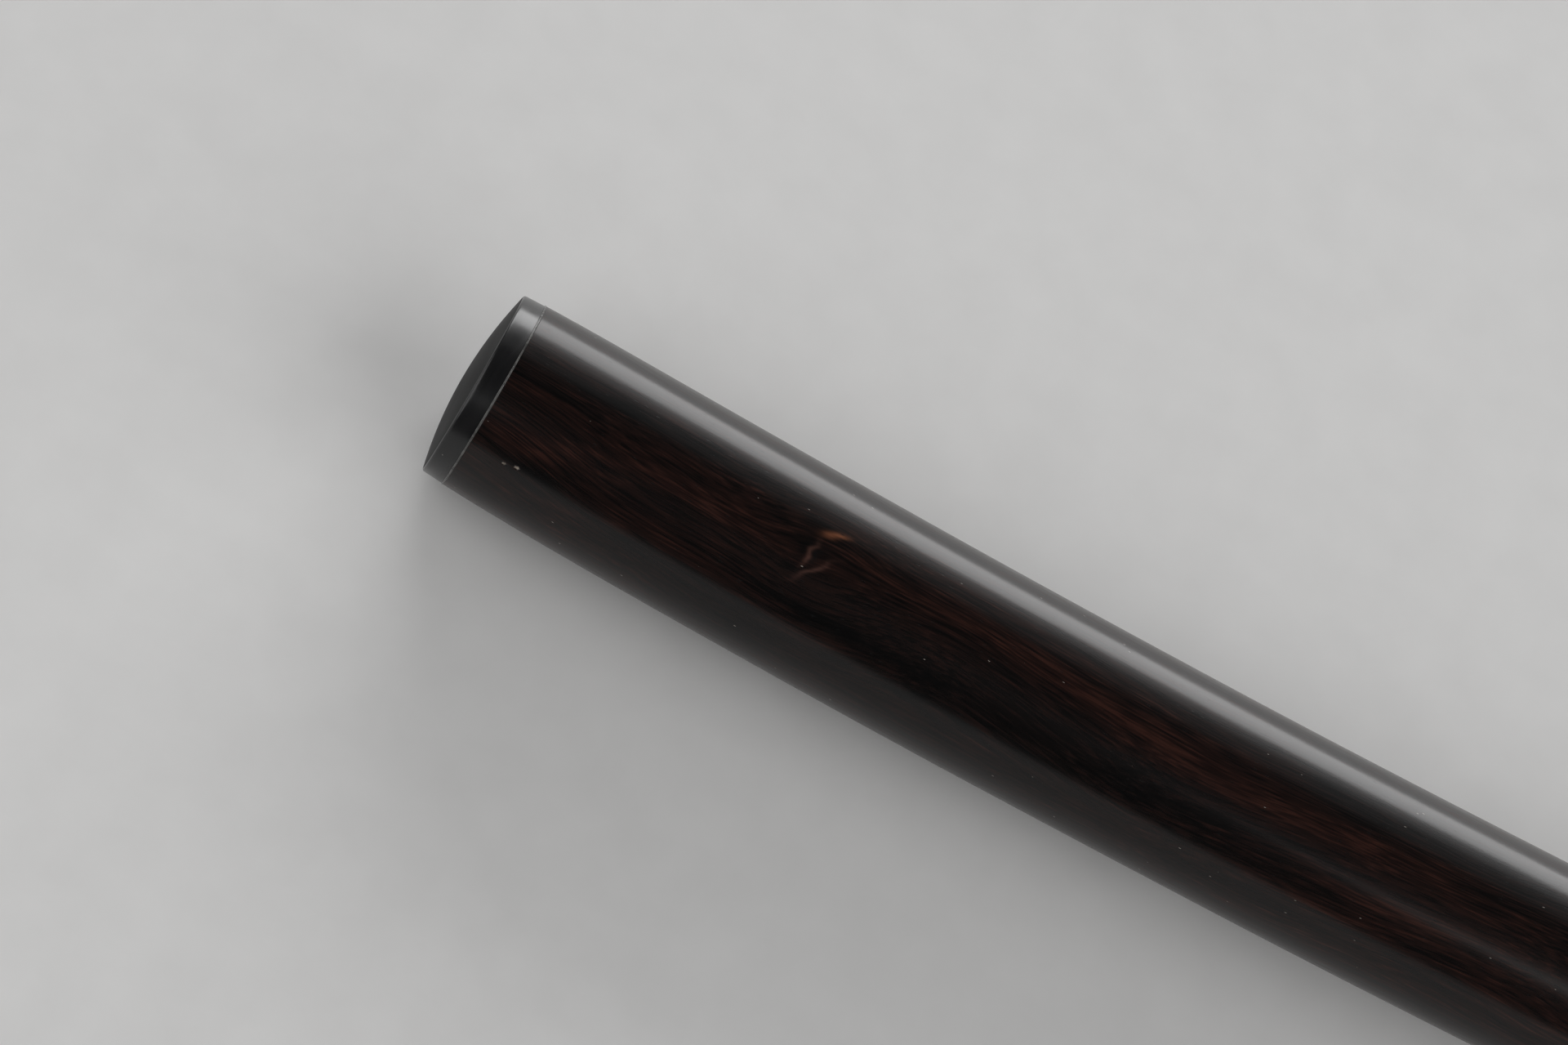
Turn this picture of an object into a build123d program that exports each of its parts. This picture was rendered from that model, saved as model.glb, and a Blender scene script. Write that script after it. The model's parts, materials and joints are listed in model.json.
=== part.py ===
from build123d import *

import os
from math import asin, cos, exp, pi, sin, tan

os.makedirs("parts", exist_ok=True)

# A calligraphy brush: a slightly bowed rosewood shaft with a horn cap on its tail, a turned horn
# ferrule, and a bud-shaped tuft of goat hair over a weasel-hair core.
# The brush lies on a table, z = 0, with its tuft towards +X. The ferrule's swell and the tail touch
# the table. Past the bow, the shaft, the ferrule and the tuft share one level axis along X.
# Every length is in millimetres and every angle in radians unless its name says degrees.

# ---- driving dimensions -------------------------------------------------------------------------

# shaft
SHAFT_LENGTH = 188.5  # wood, from the tail face to the shoulder at the ferrule
BOW_RADIUS = 842.0
BOW_LENGTH = 90.0  # the tail end of the shaft bends along an arc of this length
SHAFT_RADIUS = 6.18  # past the tail's taper
TAIL_WAIST = 0.10  # how much the wood narrows at its tail face
TAIL_WAIST_FADE = 3.5
TAIL_SWELL = 0.05  # a faint swell behind the cap
TAIL_SWELL_AT = 12.0
STATION_SPACING = 3.75
TENON_RADIUS = 3.75
TENON_LENGTH = 9.7

# tail cap
CAP_RADIUS = 6.03
CAP_WALL = 1.5  # from the wood to the rim, glue line included
CAP_DOME_HEIGHT = 0.68
CAP_RIM_BEVEL = 0.06
PEG_RADIUS = 3.0
PEG_LENGTH = 8.0
GLUE_LINE = 0.12
GLUE_FILM = 0.10
GLUE_RING_RADIUS = 6.09

# ferrule
FERRULE_LENGTH = 25.0
SWELL_RADIUS = 7.1
SWELL_AT = 11.5  # from the ferrule's rear face
SEAT_STEP_RADIUS = 6.82
SEAT_RADIUS = 6.55  # the collar that a slip-on cap grips
SEAT_LENGTH = 6.0
MOUTH_ROUND = 0.25
BORE_RADIUS = 5.65
BORE_DEPTH = 14.0
SOCKET_DEPTH = 9.9

# tuft
TUFT_LENGTH = 52.0  # outside the ferrule
TUFT_ROOT_RADIUS = 5.5
TUFT_BELLY_RADIUS = 6.05
TUFT_BELLY_AT = 14.0
TUFT_TAPER = 1.5
TIP_RADIUS = 0.12
OUTLINE_STEPS = 9  # spans of an outline curve
COAT_END = 35.0
COAT_ROOT_THICKNESS = 2.3
COAT_END_THICKNESS = 0.3
LINING_THICKNESS = 0.3
RESIN_THICKNESS = 1.2
BED_FLOOR = 0.4
THREAD_RADIUS = 0.14
THREAD_PITCH = 0.32
THREAD_TURNS = 6
THREAD_SETBACK = 1.0  # from the resin to the first turn

# tuft joints: distance of each bend from the ferrule's mouth, and how far one bend turns
BENDS = {"base": 4.0, "belly": 16.0, "shoulder": 28.0, "point": 39.0}
BEND_LIMIT = 30.0 * pi / 180
BEND_MARGIN = 2.0 * pi / 180
APEX_GAP = 0.3

# ---- the shared frame ---------------------------------------------------------------------------

def shaft_radius(distance):
    """Radius of the wood at a distance from its tail face."""
    waist = TAIL_WAIST * exp(-distance / TAIL_WAIST_FADE)
    swell = TAIL_SWELL * distance / TAIL_SWELL_AT * exp(1 - distance / TAIL_SWELL_AT)
    return SHAFT_RADIUS - waist + swell


bow_angle = BOW_LENGTH / BOW_RADIUS
bow_offset = BOW_RADIUS * (1 - cos(bow_angle))
cap_reach = CAP_WALL + CAP_DOME_HEIGHT
# the bow leans out of the level by as much as brings the thinner tail down onto the table
bow_lean = asin((SWELL_RADIUS - shaft_radius(0)) / bow_offset)
rim_offset = (bow_offset + CAP_WALL * sin(bow_angle)) * cos(bow_lean)
front_y = (SWELL_RADIUS - rim_offset - CAP_RADIUS) / 2
behind_shoulder = SHAFT_LENGTH - BOW_LENGTH + BOW_RADIUS * sin(bow_angle) + cap_reach
shoulder_x = (behind_shoulder - FERRULE_LENGTH - TUFT_LENGTH) / 2
mouth_x = shoulder_x + FERRULE_LENGTH

BOW_SIDE = Vector(0, cos(bow_lean), -sin(bow_lean))
front_axis = Axis((shoulder_x, front_y, SWELL_RADIUS), (1, 0, 0))
# profile planes hold the axis: x runs along the brush, y is the radius
ferrule_side = Plane(origin=(shoulder_x, front_y, SWELL_RADIUS), x_dir=(1, 0, 0), z_dir=(0, -1, 0))
tuft_side = Plane(origin=(mouth_x, front_y, SWELL_RADIUS), x_dir=(1, 0, 0), z_dir=(0, -1, 0))


def shaft_plane(distance):
    """The cross-section of the shaft at a distance from its tail face, facing the tuft."""
    angle = (BOW_LENGTH - distance) / BOW_RADIUS
    along = shoulder_x - (SHAFT_LENGTH - BOW_LENGTH) - BOW_RADIUS * sin(angle)
    centre = Vector(along, front_y, SWELL_RADIUS) + BOW_SIDE * (BOW_RADIUS * (1 - cos(angle)))
    heading = Vector(cos(angle), 0, 0) - BOW_SIDE * sin(angle)
    across = Vector(sin(angle), 0, 0) + BOW_SIDE * cos(angle)
    return Plane(origin=centre, x_dir=across, z_dir=heading)


tail_face = shaft_plane(0)
tail_out = tail_face.z_dir * -1
tail_axis = Axis(tail_face.origin, tail_out)
# the tail's own profile plane: x runs out of the tail, y is the radius
tail_side = Plane(origin=tail_face.origin, x_dir=tail_out, z_dir=tail_face.x_dir)


def save(part, name):
    """Label a finished piece and write it as its own file."""
    part.label = name
    export_step(part, f"parts/{name}.step")


# ---- shaft --------------------------------------------------------------------------------------

with BuildPart() as handle_shaft:
    stations = round(BOW_LENGTH / STATION_SPACING)
    for station in range(stations + 1):
        distance = BOW_LENGTH * station / stations
        with BuildSketch(shaft_plane(distance)):
            Circle(shaft_radius(distance))
    loft()
    with BuildSketch(shaft_plane(BOW_LENGTH)):
        Circle(shaft_radius(BOW_LENGTH))
    extrude(amount=SHAFT_LENGTH - BOW_LENGTH)
    with BuildSketch(Plane(origin=(shoulder_x, front_y, SWELL_RADIUS), z_dir=(1, 0, 0))):
        Circle(TENON_RADIUS)
    extrude(amount=TENON_LENGTH)
    with BuildSketch(tail_face):
        Circle(PEG_RADIUS + GLUE_FILM)
    extrude(amount=PEG_LENGTH + GLUE_FILM, mode=Mode.SUBTRACT)
save(handle_shaft.part, "handle_shaft")

# ---- tail cap and its glue ----------------------------------------------------------------------

dome_edge = CAP_RADIUS - CAP_RIM_BEVEL
dome_radius = (dome_edge**2 + CAP_DOME_HEIGHT**2) / (2 * CAP_DOME_HEIGHT)
with BuildPart() as tail_cap:
    with BuildSketch(tail_side):
        with BuildLine():
            Polyline(
                (CAP_WALL + CAP_DOME_HEIGHT, 0),
                (-PEG_LENGTH, 0),
                (-PEG_LENGTH, PEG_RADIUS),
                (GLUE_LINE, PEG_RADIUS),
                (GLUE_LINE, CAP_RADIUS),
                (CAP_WALL - CAP_RIM_BEVEL, CAP_RADIUS),
                (CAP_WALL, dome_edge),
            )
            RadiusArc((CAP_WALL, dome_edge), (CAP_WALL + CAP_DOME_HEIGHT, 0), dome_radius)
        make_face()
    revolve(axis=tail_axis)
save(tail_cap.part, "tail_cap")

with BuildPart() as tail_joint_glue:
    with BuildSketch(tail_side):
        with BuildLine():
            Polyline(
                (-PEG_LENGTH, PEG_RADIUS),
                (-PEG_LENGTH, PEG_RADIUS + GLUE_FILM),
                (0, PEG_RADIUS + GLUE_FILM),
                (0, GLUE_RING_RADIUS),
                (GLUE_LINE, GLUE_RING_RADIUS),
                (GLUE_LINE, PEG_RADIUS),
                close=True,
            )
        make_face()
    revolve(axis=tail_axis)
save(tail_joint_glue.part, "tail_joint_glue")

# ---- ferrule and its glue -----------------------------------------------------------------------

seat_start = FERRULE_LENGTH - SEAT_LENGTH
with BuildPart() as ferrule_cup:
    with BuildSketch(ferrule_side):
        with BuildLine():
            Spline(
                (0, SHAFT_RADIUS),
                (SWELL_AT, SWELL_RADIUS),
                (seat_start, SEAT_STEP_RADIUS),
                tangents=((1, 0.03), (1, 0), (1, -0.07)),
            )
            Polyline(
                (seat_start, SEAT_STEP_RADIUS),
                (seat_start, SEAT_RADIUS),
                (FERRULE_LENGTH, SEAT_RADIUS),
                (FERRULE_LENGTH, BORE_RADIUS),
                (FERRULE_LENGTH - BORE_DEPTH, BORE_RADIUS),
                (FERRULE_LENGTH - BORE_DEPTH, 0),
                (SOCKET_DEPTH, 0),
                (SOCKET_DEPTH, TENON_RADIUS + GLUE_FILM),
                (0, TENON_RADIUS + GLUE_FILM),
                (0, SHAFT_RADIUS),
            )
        make_face()
    revolve(axis=front_axis)
    mouth_edges = ferrule_cup.edges().filter_by(GeomType.CIRCLE).group_by(Axis.X)[-1]
    fillet(mouth_edges, MOUTH_ROUND)
save(ferrule_cup.part, "ferrule_cup")

with BuildPart() as ferrule_joint_glue:
    with BuildSketch(ferrule_side):
        with BuildLine():
            Polyline(
                (GLUE_FILM, TENON_RADIUS),
                (TENON_LENGTH, TENON_RADIUS),
                (TENON_LENGTH, 0),
                (SOCKET_DEPTH, 0),
                (SOCKET_DEPTH, TENON_RADIUS + GLUE_FILM),
                (GLUE_FILM, TENON_RADIUS + GLUE_FILM),
                close=True,
            )
        make_face()
    revolve(axis=front_axis)
save(ferrule_joint_glue.part, "ferrule_joint_glue")

# ---- what holds the tuft in the ferrule ---------------------------------------------------------

bed_front = -MOUTH_ROUND - GLUE_FILM
bed_floor_top = BED_FLOOR - BORE_DEPTH
resin_top = bed_floor_top + RESIN_THICKNESS
with BuildPart() as tuft_bed_glue:
    with BuildSketch(tuft_side):
        with BuildLine():
            Polyline(
                (-BORE_DEPTH, 0),
                (-BORE_DEPTH, BORE_RADIUS),
                (bed_front, BORE_RADIUS),
                (bed_front, TUFT_ROOT_RADIUS),
                (bed_floor_top, TUFT_ROOT_RADIUS),
                (bed_floor_top, 0),
                close=True,
            )
        make_face()
    revolve(axis=front_axis)
save(tuft_bed_glue.part, "tuft_bed_glue")

with BuildPart() as root_resin:
    with BuildSketch(Plane(origin=(mouth_x + bed_floor_top, front_y, SWELL_RADIUS), z_dir=(1, 0, 0))):
        Circle(TUFT_ROOT_RADIUS)
    extrude(amount=RESIN_THICKNESS)
save(root_resin.part, "root_resin")

thread_start = resin_top + THREAD_SETBACK
thread_run = THREAD_PITCH * THREAD_TURNS
thread_path_radius = TUFT_ROOT_RADIUS - THREAD_RADIUS - GLUE_FILM / 2
with BuildPart() as root_thread:
    with BuildLine() as winding:
        thread_centre = (mouth_x + thread_start, front_y, SWELL_RADIUS)
        Helix(THREAD_PITCH, thread_run, thread_path_radius, center=thread_centre, direction=(1, 0, 0))
    with BuildSketch(Plane(origin=winding.line @ 0, z_dir=winding.line % 0)):
        Circle(THREAD_RADIUS)
    sweep(path=winding.line, is_frenet=True)
save(root_thread.part, "root_thread")

# ---- tuft ---------------------------------------------------------------------------------------


def tuft_radius(along):
    """Outside of the tuft at a distance from the mouth: a low belly, then a long ogive to the tip."""
    if along <= TUFT_BELLY_AT:
        rise = (1 - cos(pi * max(along, 0) / TUFT_BELLY_AT)) / 2
        return TUFT_ROOT_RADIUS + (TUFT_BELLY_RADIUS - TUFT_ROOT_RADIUS) * rise
    share = (along - TUFT_BELLY_AT) / (TUFT_LENGTH - TUFT_BELLY_AT)
    return TIP_RADIUS + (TUFT_BELLY_RADIUS - TIP_RADIUS) * (1 - share**TUFT_TAPER)


def core_radius(along):
    """Outside of the weasel-hair core: the coat thins to its end, and past it the step fades out."""
    if along <= COAT_END:
        left = 1 - max(along, 0) / COAT_END
        thinning = (COAT_ROOT_THICKNESS - COAT_END_THICKNESS) * left**1.5
        return tuft_radius(along) - COAT_END_THICKNESS - thinning
    share = (along - COAT_END) / (TUFT_LENGTH - COAT_END)
    return tuft_radius(along) - COAT_END_THICKNESS * (1 - share**2)


def lined_core_radius(along):
    """Outside of the core at its root, where the lining is wound round it."""
    return core_radius(along) - LINING_THICKNESS


def axis_radius(along):
    """The inside of a solid layer."""
    return 0.0


def cone_crossing(bend, side, outline):
    """Where the cone that makes room for a bend, behind (-1) or ahead (+1) of it, meets an outline."""
    along = bend
    for _ in range(12):
        along = bend + side * (APEX_GAP / 2 + outline(along) * tan((BEND_LIMIT + BEND_MARGIN) / 2))
    return along


def hair_layer(outer, inner, rear=0.0, front=0.0, rear_bend=None, front_bend=None):
    """A turned layer of hair. Each end is flat at rear or front, or coned back from a bend."""
    outlines = []
    for outline in (outer, inner):
        start = cone_crossing(rear_bend, 1, outline) if rear_bend else rear
        end = cone_crossing(front_bend, -1, outline) if front_bend else front
        stops = [start + (end - start) * step / OUTLINE_STEPS for step in range(OUTLINE_STEPS + 1)]
        outlines.append([(stop, outline(stop)) for stop in stops])
    outside, inside = outlines
    with BuildPart() as layer:
        with BuildSketch(tuft_side):
            with BuildLine():
                Spline(*outside)
                Line(outside[-1], inside[-1])
                if inner is axis_radius:
                    Line(inside[-1], inside[0])
                else:
                    Spline(*reversed(inside))
                Line(inside[0], outside[0])
            make_face()
        revolve(axis=front_axis)
    return layer.part


root_end = {"rear": resin_top, "front_bend": BENDS["base"]}
with BuildPart() as coat_root:
    add(hair_layer(tuft_radius, core_radius, **root_end))
    with BuildSketch(tuft_side):
        groove_rear = thread_start - THREAD_RADIUS - GLUE_FILM
        groove_front = thread_start + thread_run + THREAD_RADIUS + GLUE_FILM
        groove_bottom = thread_path_radius - THREAD_RADIUS - GLUE_FILM
        with Locations((groove_rear, groove_bottom)):
            Rectangle(groove_front - groove_rear, THREAD_RADIUS * 4, align=(Align.MIN, Align.MIN))
    revolve(axis=front_axis, mode=Mode.SUBTRACT)
save(coat_root.part, "coat_root")
save(hair_layer(core_radius, lined_core_radius, **root_end), "core_lining")
save(hair_layer(lined_core_radius, axis_radius, **root_end), "core_root")

# each free segment runs from its own bend to the next one
segment_ends = {
    "base": {"rear_bend": BENDS["base"], "front_bend": BENDS["belly"]},
    "belly": {"rear_bend": BENDS["belly"], "front_bend": BENDS["shoulder"]},
    "shoulder": {"rear_bend": BENDS["shoulder"], "front_bend": BENDS["point"]},
    "point": {"rear_bend": BENDS["point"], "front": TUFT_LENGTH},
}
for segment, ends in segment_ends.items():
    save(hair_layer(core_radius, axis_radius, **ends), f"core_{segment}")
segment_ends["shoulder"] = {"rear_bend": BENDS["shoulder"], "front": COAT_END}
for segment in ("base", "belly", "shoulder"):
    save(hair_layer(tuft_radius, core_radius, **segment_ends[segment]), f"coat_{segment}")

# ---- where the mounts and bends are -------------------------------------------------------------

print("tail face centre", tail_face.origin, "outward", tail_out)
print("mouth", mouth_x, front_y, SWELL_RADIUS)
for segment, bend in BENDS.items():
    print("bend", segment, mouth_x + bend, front_y, SWELL_RADIUS)
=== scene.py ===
import json
from math import acos, cos, exp, pi, radians, sin, sqrt

import bmesh
import bpy
import numpy as np
from mathutils import Matrix, Vector


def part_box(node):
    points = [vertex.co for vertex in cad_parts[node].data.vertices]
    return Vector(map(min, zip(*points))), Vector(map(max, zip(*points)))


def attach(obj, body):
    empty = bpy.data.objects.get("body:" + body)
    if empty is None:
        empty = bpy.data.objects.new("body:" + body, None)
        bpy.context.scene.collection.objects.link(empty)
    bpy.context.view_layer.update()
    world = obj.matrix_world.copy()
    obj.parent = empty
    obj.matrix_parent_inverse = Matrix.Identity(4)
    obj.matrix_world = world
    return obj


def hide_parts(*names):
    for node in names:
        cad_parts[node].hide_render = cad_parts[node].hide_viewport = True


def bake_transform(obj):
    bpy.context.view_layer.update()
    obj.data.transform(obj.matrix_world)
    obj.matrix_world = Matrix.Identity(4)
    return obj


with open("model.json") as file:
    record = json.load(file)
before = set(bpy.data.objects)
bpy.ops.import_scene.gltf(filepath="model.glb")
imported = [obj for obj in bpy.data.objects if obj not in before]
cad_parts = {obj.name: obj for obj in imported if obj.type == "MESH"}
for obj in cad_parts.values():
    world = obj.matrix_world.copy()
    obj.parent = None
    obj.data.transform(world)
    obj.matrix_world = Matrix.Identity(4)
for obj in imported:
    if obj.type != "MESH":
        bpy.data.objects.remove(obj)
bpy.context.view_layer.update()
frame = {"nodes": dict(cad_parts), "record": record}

# A calligraphy brush: a dark polished rosewood shaft that bows a little, a black horn cap on its
# tail, a black horn ferrule, and a pointed tuft of cream goat hair over a brown weasel-hair core.
# Everything is turned about one axis, so a place on the brush is a distance along that axis from the
# wood's tail face, a radius, and an angle round it. Angle 0 faces the camera, a quarter turn is the
# +Y side. Lengths are in metres, written as so many MM.

MM = 0.001

# ---- driving dimensions -------------------------------------------------------------------------

# shaft
SHAFT_RADIUS = 6.18 * MM
TAIL_WAIST = 0.10 * MM  # how much the wood narrows at its tail face
TAIL_WAIST_FADE = 3.5 * MM
TAIL_SWELL = 0.05 * MM
TAIL_SWELL_AT = 12 * MM
TENON_RADIUS = 3.75 * MM
TENON_LENGTH = 9.7 * MM
PEG_RADIUS = 3.0 * MM
PEG_LENGTH = 8.0 * MM
EDGE_ROUND = 0.03 * MM  # a cut wood edge
RIPPLE = 0.006 * MM  # hand-scraped unevenness of the round

# tail cap
CAP_WALL = 1.5 * MM  # from the wood to the rim, glue line included
CAP_DOME_HEIGHT = 0.68 * MM
CAP_RIM_RADIUS = 5.98 * MM
CAP_SEAM_RADIUS = 6.05 * MM
CAP_RIM_ROUND = 0.18 * MM
GLUE_LINE = 0.12 * MM
GLUE_FILM = 0.10 * MM
GLUE_BEAD_RADIUS = 6.105 * MM
TAIL_MOUNT_SETBACK = 0.8 * MM  # from the wood's tail face to the middle of the tail_end mount

# ferrule
SWELL_RADIUS = 7.1 * MM
SWELL_AT = 11.5 * MM
REAR_SLOPE = 0.03
STEP_SLOPE = -0.07
SEAT_STEP_RADIUS = 6.82 * MM
SEAT_RADIUS = 6.55 * MM
SEAT_LENGTH = 6.0 * MM
MOUTH_ROUND = 0.25 * MM
BORE_RADIUS = 5.65 * MM
BORE_DEPTH = 14.0 * MM
SOCKET_DEPTH = 9.9 * MM

# tuft, by distance from the ferrule's mouth
TUFT_LENGTH = 52 * MM
TUFT_ROOT_RADIUS = 5.5 * MM
TUFT_BELLY_RADIUS = 6.05 * MM
TUFT_BELLY_AT = 14 * MM
TUFT_TAPER = 1.5
TIP_RADIUS = 0.12 * MM
COAT_END = 35 * MM
COAT_ROOT_THICKNESS = 2.3 * MM
COAT_END_THICKNESS = 0.3 * MM
HAIR_ROOT = -12.4 * MM  # where the hair leaves the resin
THREAD_FROM = -11.6 * MM
THREAD_TO = -9.0 * MM
THREAD_WAIST = 0.62 * MM

# ---- places from the frame ----------------------------------------------------------------------

mounts = {mount["name"]: mount for mount in frame["record"]["mounts"]}
ferrule_low, ferrule_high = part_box("ferrule_cup")
FORWARD = Vector((1, 0, 0))
axis_y, axis_z = mounts["cap_seat"]["pos_m"][1:]
tail_out = Vector(mounts["tail_end"]["axis"]).normalized()
tail_face = Vector(mounts["tail_end"]["pos_m"]) - tail_out * TAIL_MOUNT_SETBACK

# the bow is an arc that ends in the level front axis
bow_shift = Vector((0, tail_face.y - axis_y, tail_face.z - axis_z))
bow_side = bow_shift.normalized()
bow_angle = acos(-tail_out.x)
bow_radius = bow_shift.length / (1 - cos(bow_angle))
bow_length = bow_radius * bow_angle
bow_start = Vector((tail_face.x + bow_radius * sin(bow_angle), axis_y, axis_z))
shaft_length = bow_length + ferrule_low.x - bow_start.x
ferrule_length = ferrule_high.x - ferrule_low.x
mouth = shaft_length + ferrule_length

VIEW_ELEVATION = radians(60)
view_side = Vector((0, -cos(VIEW_ELEVATION), sin(VIEW_ELEVATION)))


def on_brush(along, radius, angle):
    """Points at distances along the axis from the wood's tail face, at radii and angles round it."""
    along, radius, angle = np.broadcast_arrays(along, radius, angle)
    turn = np.clip(bow_length - along, 0, bow_length)[..., None] / bow_radius
    beyond = np.minimum(along, 0) + np.maximum(along - bow_length, 0)
    forward, side = np.array(FORWARD), np.array(bow_side)
    heading = np.cos(turn) * forward - np.sin(turn) * side
    centre = np.array(bow_start) - forward * bow_radius * np.sin(turn)
    centre = centre + side * bow_radius * (1 - np.cos(turn)) + heading * beyond[..., None]
    facing = np.array(view_side) - heading * (heading @ np.array(view_side))[..., None]
    facing = facing / np.linalg.norm(facing, axis=-1, keepdims=True)
    across = np.cross(facing, heading)
    reach = np.cos(angle)[..., None] * facing + np.sin(angle)[..., None] * across
    return centre + reach * radius[..., None]


# ---- mesh building ------------------------------------------------------------------------------

COLUMNS = 256  # round a turned piece
CORNER_STEPS = 5
CORNER_GUARD = 1.5  # where the close point beside an arc stands, as a share of the rounding
CUT_END_FACING = 0.85  # how squarely a face looks along the cut to count as a cut end


def make_piece(name, points, faces, values, material, cut_along=None):
    """A smooth closed mesh. values holds one number or one vector for each point, by attribute name.
    The faces that look along cut_along are cut ends, with sharp rims."""
    mesh = bpy.data.meshes.new(name)
    mesh.from_pydata(points.tolist(), [], faces)
    for label, value in values.items():
        vector = value.ndim == 2
        attribute = mesh.attributes.new(label, "FLOAT_VECTOR" if vector else "FLOAT", "POINT")
        attribute.data.foreach_set("vector" if vector else "value", value.astype(np.float32).ravel())
    working = bmesh.new()
    working.from_mesh(mesh)
    bmesh.ops.recalc_face_normals(working, faces=working.faces)
    for face in working.faces:
        face.smooth = True
    if cut_along is not None:
        for face in working.faces:
            if abs(face.normal.dot(cut_along)) <= CUT_END_FACING:
                continue
            for edge in face.edges:
                edge.smooth = False
    working.to_mesh(mesh)
    working.free()
    mesh.materials.append(material)
    piece = bpy.data.objects.new(name, mesh)
    bpy.context.scene.collection.objects.link(piece)
    return piece


def rounded(corners):
    """A profile's points from its corners (along, radius, rounding). A rounded corner becomes an arc,
    with a close point before and after it, so that the smooth shading stays within the arc."""
    profile = []
    for index, (along, radius, rounding) in enumerate(corners):
        corner = Vector((along, radius))
        if not rounding:
            profile.append(tuple(corner))
            continue
        before = (Vector(corners[index - 1][:2]) - corner).normalized()
        after = (Vector(corners[(index + 1) % len(corners)][:2]) - corner).normalized()
        profile.append(tuple(corner + before * rounding * CORNER_GUARD))
        for step in range(CORNER_STEPS + 1):
            share = step / CORNER_STEPS
            start = corner + before * rounding * (1 - share)
            profile.append(tuple(start.lerp(corner + after * rounding * share, share)))
        profile.append(tuple(corner + after * rounding * CORNER_GUARD))
    return profile


def turned(name, profile, material, angles=None, relief=None, loop=False):
    """A closed skin round the axis. profile holds (along, radius) and either starts and ends on the
    axis or, with loop, closes on itself. relief(along, angle) is how far the surface stands proud."""
    if angles is None:
        angles = np.arange(COLUMNS) * 2 * pi / COLUMNS
    points, places, rings = [], [], []
    for along, radius in profile:
        ring_angles = angles if radius > 0 else angles[:1]
        proud = relief(along, ring_angles) if relief and radius > 0 else 0.0
        first = sum(len(block) for block in points)
        reach = radius + proud + np.zeros(len(ring_angles))
        points.append(on_brush(along, reach, ring_angles))
        facing, across = reach * np.cos(ring_angles), reach * np.sin(ring_angles)
        places.append(np.stack([np.full(len(ring_angles), along), facing, across], 1) / MM)
        rings.append(np.arange(first, first + len(ring_angles)))
    faces = []
    followers = rings[1:] + rings[:1] if loop else rings[1:]
    for ring, follower in zip(rings, followers):
        for column in range(len(angles)):
            after = (column + 1) % len(angles)
            corners = [ring[column % len(ring)], ring[after % len(ring)]]
            corners += [follower[after % len(follower)], follower[column % len(follower)]]
            faces.append(list(dict.fromkeys(int(corner) for corner in corners)))
    return make_piece(name, np.concatenate(points), faces, {"place": np.concatenate(places)}, material)


# ---- material building --------------------------------------------------------------------------

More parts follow.
